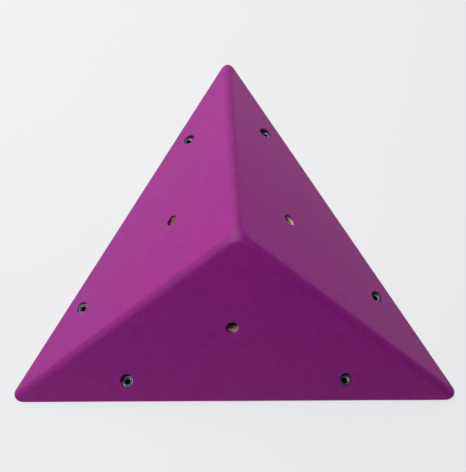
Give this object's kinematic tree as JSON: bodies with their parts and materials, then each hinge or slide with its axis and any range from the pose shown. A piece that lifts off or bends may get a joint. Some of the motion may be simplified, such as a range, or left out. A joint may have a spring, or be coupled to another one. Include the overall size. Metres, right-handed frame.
{
  "type": "climbing volume",
  "caption": "Low three-sided plywood pyramid with textured paint, steel-lined screw bores along its base edges and a T-nut bore in each face for climbing holds.",
  "frame": {"origin": "on the wall plane, at the middle of the box round the base outline", "axes": "+Z out from the wall through the peak, +X along the front base edge, +Y from the front edge to the rear corner"},
  "size_m": [0.4376, 0.3814, 0.1298],
  "materials": {
    "painted_plywood": "matt purple paint with fine sand grain, on birch plywood",
    "softwood": "sawn and planed softwood, bare",
    "zinc_steel": "zinc plated",
    "ferrule_steel": "turned, blue-grey",
    "screw_steel": "yellow zinc plated"
  },
  "bodies": {
    "root": {"front_ferrule_1": "ferrule_steel", "front_ferrule_2": "ferrule_steel", "front_panel": "painted_plywood", "front_right_batten": "softwood", "front_right_batten_screw_front_1": "screw_steel", "front_right_batten_screw_front_2": "screw_steel", "front_right_batten_screw_right_1": "screw_steel", "front_right_batten_screw_right_2": "screw_steel", "front_tnut": "zinc_steel", "front_tnut_screw_1": "screw_steel", "front_tnut_screw_2": "screw_steel", "front_tnut_screw_3": "screw_steel", "left_ferrule_1": "ferrule_steel", "left_ferrule_2": "ferrule_steel", "left_front_batten": "softwood", "left_front_batten_screw_front_1": "screw_steel", "left_front_batten_screw_front_2": "screw_steel", "left_front_batten_screw_left_1": "screw_steel", "left_front_batten_screw_left_2": "screw_steel", "left_panel": "painted_plywood", "left_tnut": "zinc_steel", "left_tnut_screw_1": "screw_steel", "left_tnut_screw_2": "screw_steel", "left_tnut_screw_3": "screw_steel", "right_ferrule_1": "ferrule_steel", "right_ferrule_2": "ferrule_steel", "right_left_batten": "softwood", "right_left_batten_screw_left_1": "screw_steel", "right_left_batten_screw_left_2": "screw_steel", "right_left_batten_screw_right_1": "screw_steel", "right_left_batten_screw_right_2": "screw_steel", "right_panel": "painted_plywood", "right_tnut": "zinc_steel", "right_tnut_screw_1": "screw_steel", "right_tnut_screw_2": "screw_steel", "right_tnut_screw_3": "screw_steel"}
  },
  "joints": []
}
